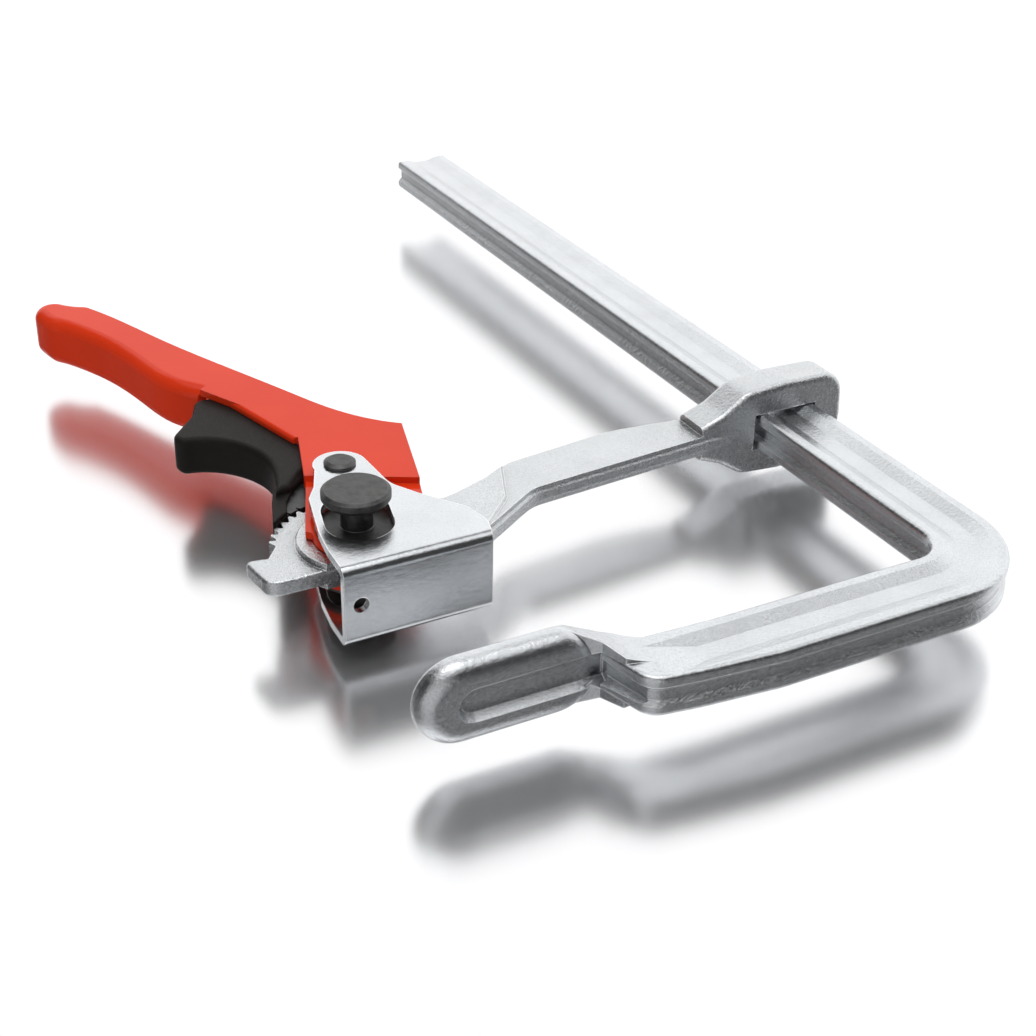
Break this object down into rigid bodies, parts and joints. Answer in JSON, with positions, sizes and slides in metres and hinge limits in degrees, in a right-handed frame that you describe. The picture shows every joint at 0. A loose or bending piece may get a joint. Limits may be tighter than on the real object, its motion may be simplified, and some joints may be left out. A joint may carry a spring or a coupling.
{
  "type": "lever clamp",
  "caption": "All-steel bench clamp with a fixed arm, a sliding arm, and a ratchet lever whose release trigger frees the pressure plate.",
  "frame": {"origin": "centre of the fixed pad's clamping face", "axes": "+Y along the rail away from the fixed arm, +X from the jaws to the rail, +Z square to both arms"},
  "size_m": [0.2244, 0.3974, 0.0404],
  "materials": {
    "rolled_steel": "zinc plated, bright",
    "forged_steel": "zinc plated over a forged skin",
    "plate_steel": "zinc plated sheet",
    "bush_steel": "turned",
    "red_paint": "gloss powder coat",
    "black_oxide": "black oxide, satin",
    "pawl_steel": "hardened, dark",
    "trigger_plastic": "fine matt grain",
    "spring_steel": "drawn wire"
  },
  "bodies": {
    "rail": {"rail_and_fixed_arm": "rolled_steel"},
    "slider": {"sliding_arm": "forged_steel", "pivot_bush": "bush_steel"},
    "lever": {"lever_body": "red_paint", "pivot_bolt": "black_oxide", "pivot_lower_head": "black_oxide", "pivot_collar_upper": "black_oxide", "pivot_collar_lower": "black_oxide", "plate_rivet": "black_oxide", "plate_washer_upper": "bush_steel", "plate_washer_lower": "bush_steel", "pawl_spacer_upper": "bush_steel", "pawl_spacer_lower": "bush_steel", "trigger_spring": "spring_steel"},
    "plate": {"pressure_plate": "plate_steel"},
    "trigger": {"release_trigger": "trigger_plastic", "ratchet_pawl": "pawl_steel"}
  },
  "joints": [
    {"name": "arm_slide", "type": "slide", "parent": "rail", "child": "slider", "axis": [0, 1, 0], "range_m": [-0.038, 0.262]},
    {"name": "lever_swing", "type": "hinge", "parent": "slider", "child": "lever", "pos_m": [-0.007, 0.076, 0], "axis": [0, 0, -1], "range_deg": [-10, 24]},
    {"name": "plate_swivel", "type": "hinge", "parent": "lever", "child": "plate", "pos_m": [0.00038, 0.10559, 0], "axis": [0, 0, 1], "range_deg": [-7, 7]},
    {"name": "trigger_pull", "type": "hinge", "parent": "lever", "child": "trigger", "pos_m": [0.00038, 0.10559, 0], "axis": [0, 0, -1], "range_deg": [0, 9], "stiffness_Nm_per_rad": 0.5, "springref_deg": -28.65}
  ]
}
